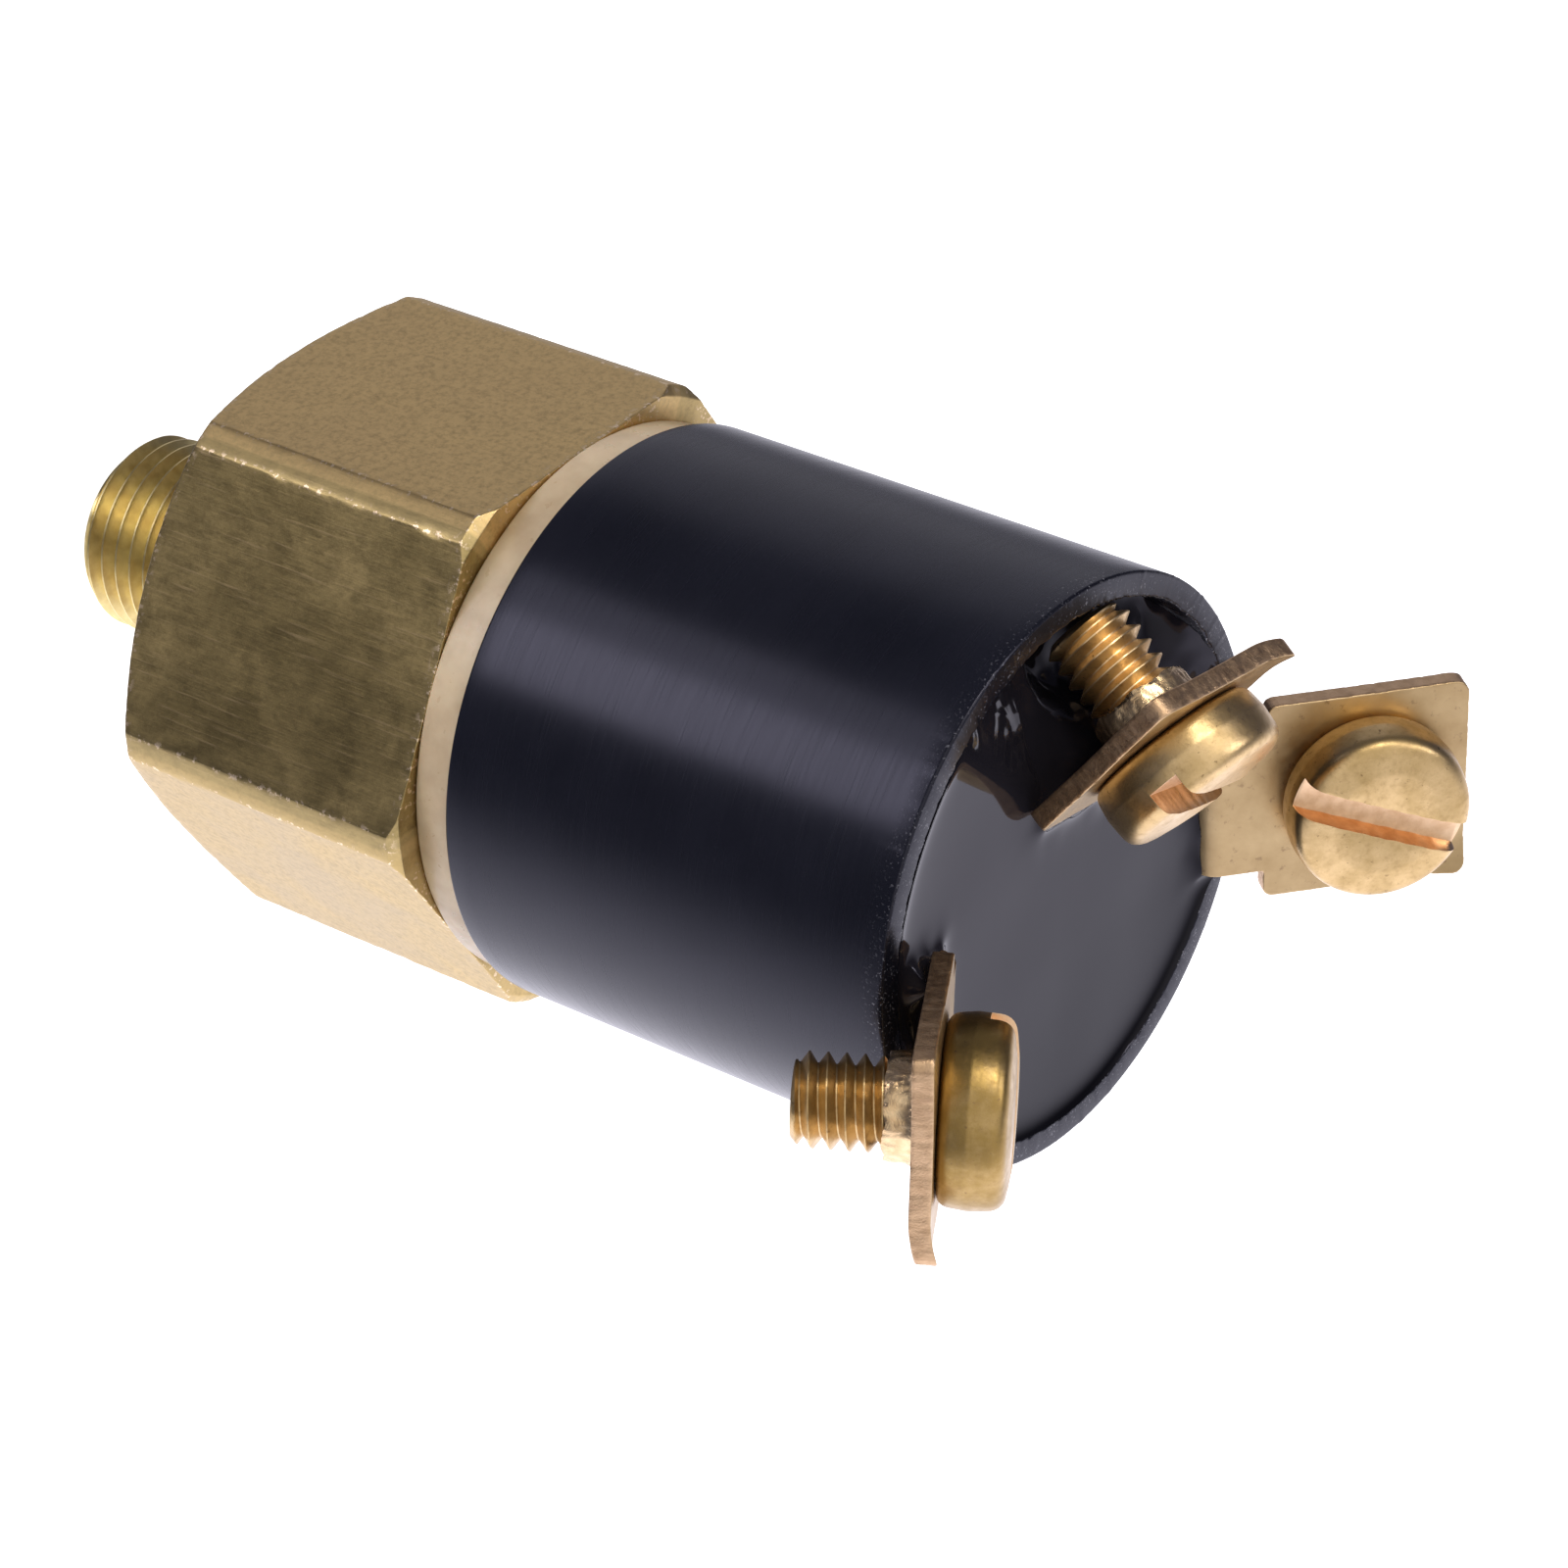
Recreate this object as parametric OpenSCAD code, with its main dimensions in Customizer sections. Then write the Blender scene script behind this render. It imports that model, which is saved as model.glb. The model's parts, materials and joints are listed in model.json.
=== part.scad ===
// Pressure switch: brass hex fitting with a pipe-thread stub, moulded insulator,
// potted round sleeve, and three screw terminals wired to a changeover contact set.
// The +Z axis runs from the threaded stub to the terminals. z = 0 is the hex front face.

/* [Brass fitting] */
// Hex size across its flats
hex_af = 27; // [26:0.5:28]
// Diameter over the turned hex corners
hex_corner_d = 30.4; // [30:0.1:30.8]
// Axial length of the hex
hex_len = 17.7; // [17:0.1:19]
// Turn of the hex about the axis
hex_turn = -24; // [-30:1:30]
// Thread outside diameter
stub_d = 10.2; // [9.8:0.1:10.4]
// Length of the threaded stub
stub_len = 12; // [9:0.5:14]
// Diameter of the pressure port
port_d = 3.2; // [2:0.2:4]

/* [Sleeve and potting] */
// Outside diameter of the sleeve
sleeve_d = 28.1; // [27.8:0.1:28.4]
// Wall of the sleeve
sleeve_wall = 1.2; // [1:0.05:1.25]
// Length of the sleeve
sleeve_len = 24.5; // [24:0.5:28]
// Thickness of the insulator flange seen below the sleeve
flange_h = 2.2; // [1.6:0.1:2.4]
// Depth of the potting surface below the rim
pot_drop = 0.5; // [0.3:0.1:0.8]

/* [Screw terminals] */
// Thickness of the terminal strip
tab_t = 0.95; // [0.8:0.05:1]
// Width of the screw plate
tab_w = 10.2; // [9.8:0.1:10.4]
// Length of the screw plate
tab_len = 9.7; // [9.5:0.1:10]
// Width of the strip below the screw plate
neck_w = 7.4; // [6:0.1:7.4]
// Diameter of the drawn boss round the screw hole
boss_d = 4.9; // [4.7:0.1:5.2]
// Height of the drawn boss
boss_h = 1.4; // [1:0.1:1.6]
// Screw thread diameter
screw_d = 4.17; // [4:0.01:4.2]
// Screw length under the head
screw_len = 6.35; // [5:0.05:6.5]
// Screw head diameter
head_d = 8.4; // [8:0.1:8.6]
// Screw head height
head_h = 3.1; // [2.6:0.1:3.2]
// Width of the driver slot
slot_w = 1.5; // [1:0.1:1.6]
// Depth of the driver slot
slot_depth = 1.2; // [0.9:0.1:1.4]

/* [Switch mechanism] */
// Travel of the piston and pin
pin_travel = 0.6; // [0.4:0.1:0.6]
// Thickness of the contact blade
blade_t = 0.4; // [0.3:0.05:0.5]
// Diameter of the contact rivets
contact_d = 2.4; // [2:0.1:2.6]
// Wire diameter of the range spring
spring_wire = 1.1; // [0.8:0.1:1.3]
// Turns of the range spring
spring_turns = 4.5; // [3.5:0.5:5]

/* [Hidden] */
$fn = 96;
brass = "#b08a4a";
tarnished_brass = "#8d7a50";
cream = "#e8dfc4";
black = "#16161a";
steel = "#b8bcc2";
silver = "#d8d8d4";
eps = 0.01;              // how far a cutter runs past the face it cuts
gap = 0.02;              // air left between faces that only touch
fit = 0.06;              // radial running clearance of the blade pivot

// Heights along the axis
flange_z = hex_len;
sleeve_z = flange_z + flange_h;
rim_z = sleeve_z + sleeve_len;
pot_z = rim_z - pot_drop;
sleeve_r = sleeve_d / 2;
inner_r = sleeve_r - sleeve_wall;

// Fitting: chamber, seal groove and counterbore
chamfer_h = 1.1;
chamber_z = 4;
floor_z = 5;
chamber_r = 6;
seal_r = 8.2;
seal_wire_r = 0.7;
counter_r = 11.2;
tip_chamfer = 0.8;

// Diaphragm stack
diaphragm_t = 0.3;
clamp_t = 2;
clamp_top = floor_z + diaphragm_t + clamp_t;
piston_r = 6.5;
piston_h = 2.5;
piston_top = floor_z + diaphragm_t + gap + piston_h;
guide_r = 2;
guide_h = 2.2;
spring_r = 4.6;
adjuster_z = 16;
adjuster_h = 3.2;
adjuster_r = 6.2;

// Insulator and contact cavity
skirt_r = 11.1;
bore_r = 7;
flange_r = 13.6;
deck_z = sleeve_z + 2.1;
pin_r = 1;
pin_hole_r = 1.05;
cover_z = deck_z + 11;
cover_h = 1.2;

// Contact set, laid out along X
pivot_x = -8;
pivot_r = 0.5;
eye_r = 1.1;
blade_z = deck_z + 3;
blade_w = 3.6;
contact_x = 7;
contact_half = 0.8;
contact_r = contact_d / 2;
blade_turn = pin_travel / -pivot_x * 180 / PI;
tip_rise = (contact_x + contact_r - pivot_x) * tan(blade_turn);
nc_face_z = blade_z - contact_half - gap;
no_face_z = blade_z + contact_half + tip_rise + 0.03;
nc_foot_z = deck_z + 0.45;
no_foot_z = no_face_z + 0.7;
ear_y = 2.03;
ear_t = 0.7;

// Each terminal: foot of the bend [x, y, z], direction, bend from the axis,
// distance from the bend to the screw, bottom of its leg, turn of the driver slot
COMMON = [[-11.15, 1.3, rim_z + 0.3], 182.5, 50, 7.2, deck_z + 0.2, -22];
NC = [[10, 3.2, rim_z + 0.4], -1.5, 58.5, 6.5, nc_foot_z, 70];
NO = [[-2.15, -3.2, pot_z + 0.3], -94, 51.6, 5.1, no_foot_z, 70];

bend_r = 0.8;            // middle of the strip
bend_steps = 6;
screw_hole_r = screw_d / 2 + 0.075;
boss_base = tab_t / 2;
hollow_r = 2.85;         // pocket left in the potting under the inner screw's tip
hollow_depth = 3.3;
hollow_c = [-2.55, -9.4];

// ---- shared shapes ----

module disc(r, h, z = 0) {
  translate([0, 0, z]) cylinder(r = r, h = h);
}

// Flat ring with a plain bore
module ring(r_out, r_in, h, z = 0) {
  translate([0, 0, z]) difference() {
    cylinder(r = r_out, h = h);
    translate([0, 0, -eps]) cylinder(r = r_in, h = h + 2 * eps);
  }
}

module block(x, y, z) {
  translate([x[0], y[0], z[0]]) cube([x[1] - x[0], y[1] - y[0], z[1] - z[0]]);
}

// Rectangle with round corners, centred, as a plain union
module round_rect(size, r) {
  square([size[0] - 2 * r, size[1]], center = true);
  square([size[0], size[1] - 2 * r], center = true);
  for (x = [-1, 1], y = [-1, 1])
    translate([x * (size[0] / 2 - r), y * (size[1] / 2 - r)]) circle(r = r, $fn = 32);
}

// Puts children in a terminal's bent frame: +Z along the tab, -X the screw head side
module on_tab(t) {
  translate(t[0]) rotate([0, t[2], t[1]]) children();
}

// Puts children on a terminal's screw axis: +Z towards the screw head
module on_screw(t) {
  on_tab(t) translate([0, 0, t[3]]) rotate([0, -90, 0]) children();
}

// Side view of the strip: straight leg, round bend, then out to the screw plate
function strip_outline(leg_h, bend, reach) =
  let (
    arc_z = -bend_r * tan(bend / 2),
    inner = bend_r - tab_t / 2,
    outer = bend_r + tab_t / 2,
    along = [sin(bend), cos(bend)],
    head_side = [-cos(bend), sin(bend)],
    arc = function(r, from, to) [for (i = [0:bend_steps])
      let (a = from + (to - from) * i / bend_steps) [bend_r - r * cos(a), arc_z + r * sin(a)]])
  concat(
    [[-tab_t / 2, -leg_h]], arc(outer, 0, bend),
    [along * reach + head_side * tab_t / 2, along * reach - head_side * tab_t / 2],
    arc(inner, bend, 0), [[tab_t / 2, -leg_h]]);

// Strip and screw plate, with no hole
module terminal_blank(t) {
  translate(t[0]) rotate([0, 0, t[1]]) rotate([90, 0, 0])
    translate([0, 0, -neck_w / 2]) linear_extrude(neck_w)
      polygon(strip_outline(t[0][2] - t[4], t[2], t[3] - tab_len / 2 + 1));
  on_screw(t) translate([0, 0, -tab_t / 2])
    linear_extrude(tab_t) round_rect([tab_len, tab_w], 0.7);
}

// Drawn boss on the back of the plate, then the screw hole
module terminal(t) {
  difference() {
    union() {
      terminal_blank(t);
      on_screw(t) translate([0, 0, -boss_base - boss_h]) cylinder(d = boss_d, h = boss_h + tab_t / 2);
    }
    on_screw(t) translate([0, 0, -boss_base - boss_h - eps])
      cylinder(r = screw_hole_r, h = boss_h + tab_t + 2 * eps);
  }
}

// Slotted pan-head screw, its head's underside just clear of the plate
module terminal_screw(t) {
  head_r = head_d / 2;
  under = 0.5;
  over = 0.9;
  on_screw(t) translate([0, 0, tab_t / 2 + gap]) rotate([0, 0, t[5]]) difference() {
    union() {
      rotate_extrude() polygon(concat(
        [[0, 0], [head_r - under, 0]],
        [for (a = [-75:15:0]) [head_r - under + under * cos(a), under + under * sin(a)]],
        [for (a = [0:15:90]) [head_r - over + over * cos(a), head_h - over + over * sin(a)]],
        [[0, head_h]]));
      translate([0, 0, -screw_len + 0.4]) cylinder(d = screw_d, h = screw_len);
      translate([0, 0, -screw_len]) cylinder(d1 = screw_d - 0.8, d2 = screw_d, h = 0.4);
    }
    translate([-head_d / 2 - 1, -slot_w / 2, head_h - slot_depth])
      cube([head_d + 2, slot_w, slot_depth + 1]);
  }
}

// Open coil along +Z: a round wire swept as one closed surface
module coil(r, wire_r, z0, z1, turns) {
  sides = 8;
  steps = round(turns * 20);
  rise = z1 - z0 - 2 * wire_r;
  function ring_at(i) = let (a = 360 * turns * i / steps, z = z0 + wire_r + rise * i / steps)
    [for (k = [0:sides - 1]) let (b = 360 * k / sides)
      [(r + wire_r * cos(b)) * cos(a), (r + wire_r * cos(b)) * sin(a), z + wire_r * sin(b)]];
  points = [for (i = [0:steps]) each ring_at(i)];
  walls = [for (i = [0:steps - 1], k = [0:sides - 1]) let (n = (k + 1) % sides)
    [i * sides + k, i * sides + n, (i + 1) * sides + n, (i + 1) * sides + k]];
  ends = [[for (k = [sides - 1:-1:0]) k], [for (k = [0:sides - 1]) steps * sides + k]];
  polyhedron(points, concat(walls, ends), convexity = 6);
}

// ---- pressure side ----

// Hex with turned corners, stub, port, chamber and counterbore in one bar
module base_fitting() {
  corner_r = hex_corner_d / 2;
  face_r = corner_r - chamfer_h * tan(60);
  color(tarnished_brass) difference() {
    union() {
      intersection() {
        rotate([0, 0, hex_turn + 30]) cylinder(d = hex_af / cos(30), h = hex_len, $fn = 6);
        union() {
          cylinder(r1 = face_r, r2 = corner_r, h = chamfer_h);
          disc(corner_r, hex_len - chamfer_h - 0.4, chamfer_h);
          translate([0, 0, hex_len - 0.4]) cylinder(r1 = corner_r, r2 = corner_r - 0.5, h = 0.4);
        }
      }
      disc(stub_d / 2, stub_len - tip_chamfer + 1, tip_chamfer - stub_len);
      translate([0, 0, -stub_len])
        cylinder(r1 = stub_d / 2 - tip_chamfer, r2 = stub_d / 2, h = tip_chamfer);
    }
    disc(port_d / 2, stub_len + chamber_z + 1, -stub_len - 1);
    disc(chamber_r, floor_z - chamber_z + eps, chamber_z);
    disc(counter_r, hex_len, floor_z);
    translate([0, 0, floor_z - 2 * seal_wire_r])
      ring(seal_r + seal_wire_r + 0.1, seal_r - seal_wire_r - 0.1, 2 * seal_wire_r + eps);
  }
}

module diaphragm_seal() {
  color(black) translate([0, 0, floor_z - seal_wire_r])
    rotate_extrude() translate([seal_r, 0]) circle(r = seal_wire_r, $fn = 32);
}

module diaphragm() {
  color(steel) disc(counter_r - 0.1, diaphragm_t, floor_z);
}

module clamp_ring() {
  color(steel) ring(counter_r - 0.05, piston_r + 0.4, clamp_t, floor_z + diaphragm_t);
}

// Pressure plate with a guide for the spring and a socket for the pin
module piston() {
  color(steel) difference() {
    union() {
      disc(piston_r, piston_h, piston_top - piston_h);
      disc(guide_r, guide_h, piston_top);
    }
    disc(pin_r, guide_h + eps, piston_top);
  }
}

// Insulating push rod, seated in the piston and domed where it lifts the blade
module actuating_pin() {
  dome_z = blade_z - blade_t / 2 - gap - pin_r;
  color(cream) {
    disc(pin_r, dome_z - piston_top, piston_top);
    intersection() {
      translate([0, 0, dome_z]) sphere(r = pin_r, $fn = 48);
      disc(pin_r + 1, pin_r + 1, dome_z);
    }
  }
}

module range_spring() {
  color(steel) coil(spring_r, spring_wire / 2, piston_top + gap, adjuster_z - gap, spring_turns);
}

// Hollow plug that sets the spring load, turned with a two-pin key before potting
module adjusting_screw() {
  key_r = 0.7;
  color(brass) difference() {
    ring(adjuster_r, pin_r + 0.6, adjuster_h, adjuster_z);
    for (side = [-1, 1]) translate([side * 4, 0, adjuster_z + adjuster_h - 1.2])
      cylinder(r = key_r, h = 1.3, $fn = 32);
  }
}

// ---- insulator and sleeve ----

// Moulding that closes the fitting, shows as the pale flange and carries the contacts
module insulator_body() {
  thread_z = adjuster_z - 1;
  shoulder_z = adjuster_z + adjuster_h + 0.1;
  color(cream) difference() {
    union() {
      disc(skirt_r, flange_z - clamp_top, clamp_top);
      disc(flange_r, flange_h, flange_z);
      disc(inner_r - 0.05, deck_z - sleeve_z, sleeve_z);
    }
    disc(bore_r, thread_z - clamp_top + eps, clamp_top - eps);
    disc(adjuster_r, shoulder_z - thread_z + eps, thread_z - eps);
    disc(pin_hole_r, deck_z, shoulder_z - eps);
  }
}

module housing_sleeve() {
  color(black) ring(sleeve_r, inner_r, sleeve_len, sleeve_z);
}

// ---- terminals and contacts ----

// Common terminal: its foot carries two ears that hold the blade pivot
module common_terminal() {
  foot_z = COMMON[4];
  color(brass) {
    terminal(COMMON);
    block([-11.5, pivot_x + 1.2], [-ear_y - ear_t, ear_y + ear_t], [foot_z, foot_z + tab_t]);
    difference() {
      for (y = [-ear_y - ear_t, ear_y])
        block([pivot_x - eye_r, pivot_x + eye_r], [y, y + ear_t],
          [foot_z + tab_t / 2, blade_z + eye_r]);
      pivot_rod(ear_y + ear_t + 1);
    }
  }
}

module pivot_rod(half) {
  translate([pivot_x, 0, blade_z]) rotate([90, 0, 0])
    cylinder(r = pivot_r, h = 2 * half, center = true, $fn = 48);
}

module blade_pivot() {
  color(steel) pivot_rod(ear_y + ear_t);
}

// Normally open terminal: its foot reaches over the end of the blade
module no_terminal() {
  color(brass) {
    terminal(NO);
    block([-1, contact_x + 1.6], [-3.5, 1.6], [no_foot_z, no_foot_z + tab_t]);
  }
}

// Normally closed terminal: its foot reaches under the end of the blade
module nc_terminal() {
  color(brass) {
    terminal(NC);
    block([contact_x - 1.6, 10.4], [-0.6, 2.6], [nc_foot_z, nc_foot_z + tab_t]);
  }
}

// Spring-bronze blade with an eye round the pivot and a hole for its contact
module common_blade() {
  end_x = contact_x + contact_r + 0.6;
  color("#c08a52") difference() {
    union() {
      block([pivot_x, end_x], [-blade_w / 2, blade_w / 2],
        [blade_z - blade_t / 2, blade_z + blade_t / 2]);
      translate([pivot_x, 0, blade_z]) rotate([90, 0, 0])
        cylinder(r = eye_r, h = blade_w, center = true, $fn = 48);
    }
    translate([pivot_x, 0, blade_z]) rotate([90, 0, 0])
      cylinder(r = pivot_r + fit, h = blade_w + 1, center = true, $fn = 48);
    translate([contact_x, 0, blade_z - blade_t])
      cylinder(r = contact_r / 2, h = 2 * blade_t, $fn = 48);
  }
}

// Double-faced rivet: a waist in the blade and a face on each side
module moving_contact() {
  color(silver) translate([contact_x, 0, 0]) {
    disc(contact_r / 2, 2 * contact_half, blade_z - contact_half, $fn = 48);
    disc(contact_r, contact_half - blade_t / 2, blade_z + blade_t / 2);
    disc(contact_r, contact_half - blade_t / 2, blade_z - contact_half);
  }
}

module no_contact() {
  color(silver) translate([contact_x, 0, 0]) disc(contact_r, no_foot_z - no_face_z, no_face_z);
}

module nc_contact() {
  color(silver) translate([contact_x, 0, 0])
    disc(contact_r, nc_face_z - nc_foot_z - tab_t, nc_foot_z + tab_t);
}

// ---- closing and potting ----

module all_blanks() {
  for (t = [COMMON, NC, NO]) terminal_blank(t);
}

// Fibre disc that keeps the potting out of the contact cavity
module cavity_cover() {
  color("#6b3f2a") difference() {
    disc(inner_r - 0.05, cover_h, cover_z);
    all_blanks();
  }
}

// Cast resin round the three legs, with a pocket under the inner screw's tip
module potting_compound() {
  color(black) difference() {
    disc(inner_r, pot_z - cover_z - cover_h, cover_z + cover_h);
    all_blanks();
    translate([hollow_c[0], hollow_c[1], pot_z - hollow_depth])
      cylinder(r = hollow_r, h = hollow_depth + 1);
  }
}

module common_screw() { color(brass) terminal_screw(COMMON); }
module no_screw() { color(brass) terminal_screw(NO); }
module nc_screw() { color(brass) terminal_screw(NC); }

base_fitting();
diaphragm_seal();
diaphragm();
clamp_ring();
piston();
actuating_pin();
range_spring();
adjusting_screw();
insulator_body();
housing_sleeve();
common_terminal();
no_terminal();
nc_terminal();
blade_pivot();
common_blade();
moving_contact();
no_contact();
nc_contact();
cavity_cover();
potting_compound();
common_screw();
no_screw();
nc_screw();
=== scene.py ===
"""Pressure switch: brass hex fitting, potted black sleeve and three screw terminals.

Every length below is in millimetres and is turned into metres when a mesh is made.
"""

import json
import math

import bmesh
import bpy
import numpy as np
from mathutils import Matrix, Vector, noise

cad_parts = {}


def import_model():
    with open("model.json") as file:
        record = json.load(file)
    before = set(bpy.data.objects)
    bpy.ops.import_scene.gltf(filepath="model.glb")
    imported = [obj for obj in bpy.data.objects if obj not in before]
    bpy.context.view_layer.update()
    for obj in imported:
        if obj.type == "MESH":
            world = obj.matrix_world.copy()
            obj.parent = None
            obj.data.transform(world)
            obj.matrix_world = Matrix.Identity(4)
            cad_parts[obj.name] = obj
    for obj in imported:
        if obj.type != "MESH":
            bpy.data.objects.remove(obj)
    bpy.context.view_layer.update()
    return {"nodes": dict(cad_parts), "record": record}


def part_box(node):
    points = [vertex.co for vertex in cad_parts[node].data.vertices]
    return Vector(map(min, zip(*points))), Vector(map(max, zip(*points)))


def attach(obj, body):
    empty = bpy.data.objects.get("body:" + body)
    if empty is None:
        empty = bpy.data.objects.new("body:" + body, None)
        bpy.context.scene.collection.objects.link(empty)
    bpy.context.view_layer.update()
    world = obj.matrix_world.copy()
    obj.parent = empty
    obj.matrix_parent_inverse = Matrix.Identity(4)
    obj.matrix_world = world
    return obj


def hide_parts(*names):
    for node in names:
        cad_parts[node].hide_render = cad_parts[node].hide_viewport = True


MM = 0.001
TAU = 2 * math.pi

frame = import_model()
MOUNTS = {m["name"]: m for m in frame["record"]["mounts"]}

# ---- sizes, from the CAD nodes' boxes and the mounts ----


def span(node):
    """Lowest and highest z of a CAD node, in millimetres."""
    low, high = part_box(node)
    return low.z / MM, high.z / MM


STUB_Z = span("base_fitting")[0]
HEX_TOP_Z = span("base_fitting")[1]
SLEEVE_Z, RIM_Z = span("housing_sleeve")
COVER_Z = span("cavity_cover")[1]
SLEEVE_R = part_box("housing_sleeve")[1].x / MM
FLANGE_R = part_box("insulator_body")[1].x / MM
BORE_R = MOUNTS["pressure_inlet"]["dims"]["r_mm"]
THREAD_R = MOUNTS["port_thread"]["dims"]["r_mm"]
HEX_FLAT_R = Vector(MOUNTS["wrench_flat"]["pos_m"][:2]).length / MM
HEX_TURN = math.atan2(*reversed(MOUNTS["wrench_flat"]["pos_m"][:2]))
CORNER_R = 15.2
WALL = 1.2
INNER_R = SLEEVE_R - WALL

TAB_T = 0.95
TAB_W = 10.2
TAB_LEN = 9.7
NECK_W = 7.4
HOLE_R = 2.16
BOSS_R = 2.45
BOSS_Z = -TAB_T / 2 - 1.4
BEND_R = 0.8
HEAD_R = 4.2
HEAD_H = 3.1
SCREW_R = 2.085
SCREW_LEN = 6.35
SCREW_PITCH = 0.794
SLOT_W = 1.5
SLOT_DEPTH = 1.25

# ---- small tools ----


def sample(point, scale, seed=0.0):
    """Smooth noise from -1 to 1; scale is the size of one blotch in millimetres."""
    return noise.noise(Vector(point) / scale + Vector((seed, -seed, 2 * seed)))


def new_object(name, data):
    """An object in the scene, for a mesh, a light or a camera."""
    obj = bpy.data.objects.new(name, data)
    bpy.context.scene.collection.objects.link(obj)
    return obj


def mesh_object(name, verts, faces, sharp=40.0):
    """A closed mesh from points in millimetres, smooth except where it turns more than sharp degrees."""
    mesh = bpy.data.meshes.new(name)
    mesh.from_pydata([tuple(c * MM for c in v) for v in verts], [], faces)
    bm = bmesh.new()
    bm.from_mesh(mesh)
    bmesh.ops.remove_doubles(bm, verts=bm.verts, dist=0.002 * MM)
    bmesh.ops.dissolve_degenerate(bm, edges=bm.edges, dist=0.001 * MM)
    bmesh.ops.recalc_face_normals(bm, faces=bm.faces)
    bm.to_mesh(mesh)
    bm.free()
    obj = new_object(name, mesh)
    shade(obj, sharp)
    return obj


def shade(obj, sharp):
    """Smooth shading, with a sharp edge wherever the surface turns more than sharp degrees."""
    for polygon in obj.data.polygons:
        polygon.use_smooth = True
    obj.data.set_sharp_from_angle(angle=math.radians(sharp))


def grid_faces(rows, cols):
    """Quads of a grid whose columns run round and close; rows don't close."""
    return [quad for r in range(rows - 1) for quad in bridge(r * cols, (r + 1) * cols, cols)]


def bridge(a, b, cols):
    """Quads between two closed loops of cols points that start at points a and b."""
    return [(a + c, a + (c + 1) % cols, b + (c + 1) % cols, b + c) for c in range(cols)]


def ring_faces(rows, cols):
    """Quads of a grid that closes both ways."""
    return grid_faces(rows, cols) + bridge((rows - 1) * cols, 0, cols)


def circle(r, z, cols):
    """Points round +Z, as one loop of a grid."""
    return [(r * math.cos(TAU * c / cols), r * math.sin(TAU * c / cols), z) for c in range(cols)]


def lathe(name, profile, cols, sharp, ripple):
    """Turns a closed (r, z) profile round +Z. ripple(r, z, angle) is added to r and z."""
    verts = []
    for r, z in profile:
        for c in range(cols):
            a = TAU * c / cols
            dr, dz = ripple(r, z, a)
            verts.append(((r + dr) * math.cos(a), (r + dr) * math.sin(a), z + dz))
    return mesh_object(name, verts, ring_faces(len(profile), cols), sharp)


def corner_curve(p, a, b, cut, steps):
    """The curve that rounds corner p: it starts cut along side a and ends cut along side b."""
    start, end = p + a.normalized() * cut, p + b.normalized() * cut
    curve = []
    for s in range(steps + 1):
        t = s / steps
        curve.append(tuple((1 - t) ** 2 * start + 2 * t * (1 - t) * p + t * t * end))
    return curve


def rounded(corners, steps):
    """A closed polygon of (x, y, radius) corners, each rounded unless its radius is 0."""
    out = []
    for before, corner, after in zip(corners[-1:] + corners[:-1], corners, corners[1:] + corners[:1]):
        p, radius = Vector(corner[:2]), corner[2]
        a, b = Vector(before[:2]) - p, Vector(after[:2]) - p
        if radius > 0:
            cut = min(radius / math.tan(a.angle(b) / 2), 0.45 * a.length, 0.45 * b.length)
            out += corner_curve(p, a, b, cut, steps)
        else:
            out.append(tuple(p))
    return out


def rounded_run(points, cut):
    """An open run of (r, z) points with its inner corners cut and curved; the ends are left out."""
    out = []
    for before, corner, after in zip(points, points[1:], points[2:]):
        p = Vector(corner)
        a, b = Vector(before) - p, Vector(after) - p
        out += corner_curve(p, a, b, min(cut, 0.45 * a.length, 0.45 * b.length), 3)
    return out


def float_attribute(obj, name, values):
    """One number for each point of the mesh, for a material to read."""
    layer = obj.data.attributes.new(name, "FLOAT", "POINT")
    layer.data.foreach_set("value", np.asarray(values, np.float32))


def smoothstep(low, high, x):
    """Runs smoothly from 0 at low to 1 at high, which may be the smaller of the two."""
    t = min(1.0, max(0.0, (x - low) / (high - low)))
    return t * t * (3 - 2 * t)


def place(obj, body, nodes):
    """The piece rides on a body and stands for CAD nodes."""
    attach(obj, body)
    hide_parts(*nodes)
    return obj


# ---- materials ----

MIX_A, MIX_B, MIX_OUT = 6, 7, 2  # a Mix node's sockets for two colours and for the result


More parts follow.
